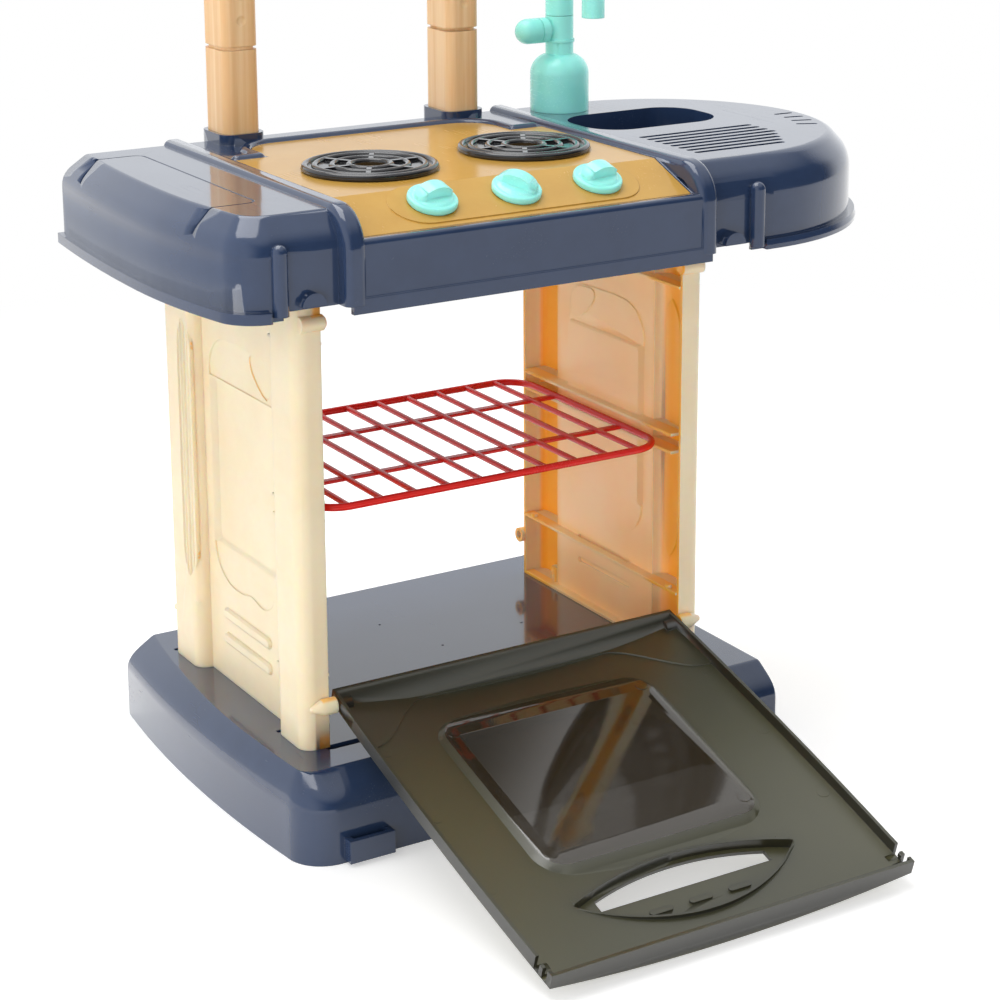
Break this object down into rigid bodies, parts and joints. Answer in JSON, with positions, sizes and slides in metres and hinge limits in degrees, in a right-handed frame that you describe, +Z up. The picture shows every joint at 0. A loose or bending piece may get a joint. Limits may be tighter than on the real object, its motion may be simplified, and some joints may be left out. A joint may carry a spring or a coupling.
{
  "type": "toy oven",
  "caption": "Child's toy oven with a fold-down smoked door, sliding wire rack, hob with turning knobs, sink with swivelling tap, and posts with a utensil rail.",
  "frame": {"origin": "on the floor, midway between the two side walls and midway between their front and rear faces", "axes": "+Z up, +X to the right of someone facing the oven door, +Y to the back"},
  "size_m": [0.5346, 0.4944, 0.6395],
  "materials": {
    "navy_plastic": "high gloss moulded plastic",
    "cream_plastic": "satin translucent moulded plastic",
    "post_plastic": "satin moulded plastic",
    "tan_plastic": "gloss moulded plastic",
    "turquoise_plastic": "gloss moulded plastic",
    "red_plastic": "gloss moulded plastic",
    "smoked_plastic": "smoked translucent plastic",
    "black_plastic": "gloss moulded plastic",
    "screw_steel": "zinc plated steel"
  },
  "bodies": {
    "frame": {"base_shell": "navy_plastic", "base_screws": "screw_steel", "left_wall": "cream_plastic", "right_wall": "cream_plastic", "worktop_shell": "navy_plastic", "wall_screws": "screw_steel", "hob_panel": "tan_plastic", "left_burner_ring": "black_plastic", "right_burner_ring": "black_plastic", "tap_body": "turquoise_plastic", "tap_nut": "turquoise_plastic", "left_post_lower": "post_plastic", "right_post_lower": "post_plastic", "left_post_upper": "post_plastic", "right_post_upper": "post_plastic", "left_post_cap": "navy_plastic", "right_post_cap": "navy_plastic", "hook_rail": "navy_plastic"},
    "door": {"oven_door": "smoked_plastic"},
    "rack": {"oven_rack": "red_plastic"},
    "knob_left": {"left_knob": "turquoise_plastic", "left_knob_clip": "screw_steel"},
    "knob_middle": {"middle_knob": "turquoise_plastic", "middle_knob_clip": "screw_steel"},
    "knob_right": {"right_knob": "turquoise_plastic", "right_knob_clip": "screw_steel"},
    "spout": {"tap_spout": "turquoise_plastic"},
    "tap_handle": {"tap_knob": "turquoise_plastic"}
  },
  "joints": [
    {"name": "door_hinge", "type": "hinge", "parent": "frame", "child": "door", "pos_m": [0, -0.1028, 0.0834], "axis": [-1, 0, 0], "range_deg": [0, 106.1]},
    {"name": "rack_slide", "type": "slide", "parent": "frame", "child": "rack", "axis": [0, 1, 0], "range_m": [0, 0.15]},
    {"name": "left_knob_turn", "type": "hinge", "parent": "frame", "child": "knob_left", "pos_m": [-0.058, -0.105, 0.39298], "axis": [0, -0.3633, 0.9317], "continuous": true},
    {"name": "middle_knob_turn", "type": "hinge", "parent": "frame", "child": "knob_middle", "pos_m": [0.0015, -0.105, 0.39298], "axis": [0, -0.3633, 0.9317], "continuous": true},
    {"name": "right_knob_turn", "type": "hinge", "parent": "frame", "child": "knob_right", "pos_m": [0.061, -0.105, 0.39298], "axis": [0, -0.3633, 0.9317], "continuous": true},
    {"name": "spout_swivel", "type": "hinge", "parent": "frame", "child": "spout", "pos_m": [0.165, 0.103, 0.468], "axis": [0, 0, 1], "range_deg": [-60, 60]},
    {"name": "tap_handle_turn", "type": "hinge", "parent": "frame", "child": "tap_handle", "pos_m": [0.1532, 0.103, 0.458], "axis": [-1, 0, 0], "range_deg": [-90, 90]}
  ]
}
